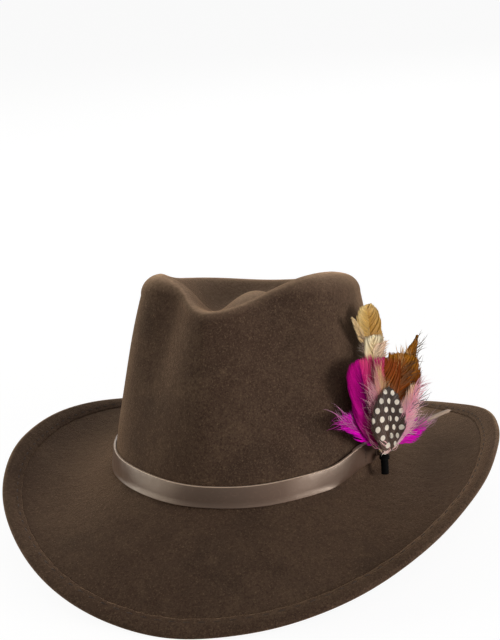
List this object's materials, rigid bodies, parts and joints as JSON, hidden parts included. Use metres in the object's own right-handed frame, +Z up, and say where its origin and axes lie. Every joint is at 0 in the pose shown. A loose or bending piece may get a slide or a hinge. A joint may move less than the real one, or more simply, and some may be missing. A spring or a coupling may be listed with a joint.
{
  "type": "fedora hat",
  "caption": "Wool felt hat with a pinched teardrop crown, dipped wide brim with a folded edge, leather band and a fan of dyed feathers at one side.",
  "frame": {"origin": "centre of the bounding box on the plane that the brim's front and back rest on", "axes": "+Z up, -Y the front of the hat, +X the wearer's left"},
  "size_m": [0.3262, 0.3624, 0.1704],
  "materials": {
    "felt": "dense brushed wool felt",
    "felt_thread": "matte thread",
    "spring_wire": "drawn",
    "sleeve_steel": "drawn",
    "sweat_leather": "smooth lining leather",
    "reed_plastic": "matte",
    "tan_thread": "matte thread",
    "ribbon": "grosgrain",
    "tag_cloth": "plain woven",
    "band_leather": "satin, fine grain",
    "band_thread": "matte thread",
    "stem_tape": "wrapped tape",
    "wrap_thread": "bound thread",
    "clip_steel": "satin",
    "gold_plume": "feather",
    "cream_plume": "feather",
    "amber_plume": "feather",
    "magenta_plume": "feather",
    "rose_plume": "feather",
    "peach_plume": "feather",
    "guinea_plume": "spotted feather",
    "quill": "bare quill"
  },
  "bodies": {
    "root": {"felt_body": "felt", "brim_wire": "spring_wire", "brim_wire_sleeve": "sleeve_steel", "fold_stitching": "felt_thread", "sweatband": "sweat_leather", "sweatband_reed": "reed_plastic", "sweatband_stitching": "tan_thread", "sweatband_bow": "ribbon", "size_tag": "tag_cloth", "hat_band": "band_leather", "hat_band_stitches": "band_thread", "trim_stem": "stem_tape", "trim_wrap": "wrap_thread", "trim_clip": "clip_steel", "gold_feather": "gold_plume", "gold_sliver": "gold_plume", "cream_feather": "cream_plume", "amber_feather": "amber_plume", "amber_spike": "amber_plume", "magenta_petal": "magenta_plume", "rose_feather": "rose_plume", "cream_hackle": "cream_plume", "guinea_feather": "guinea_plume", "magenta_hackle_left": "magenta_plume", "magenta_hackle_right": "magenta_plume", "peach_hackle": "peach_plume", "pale_quill": "quill"}
  },
  "joints": []
}
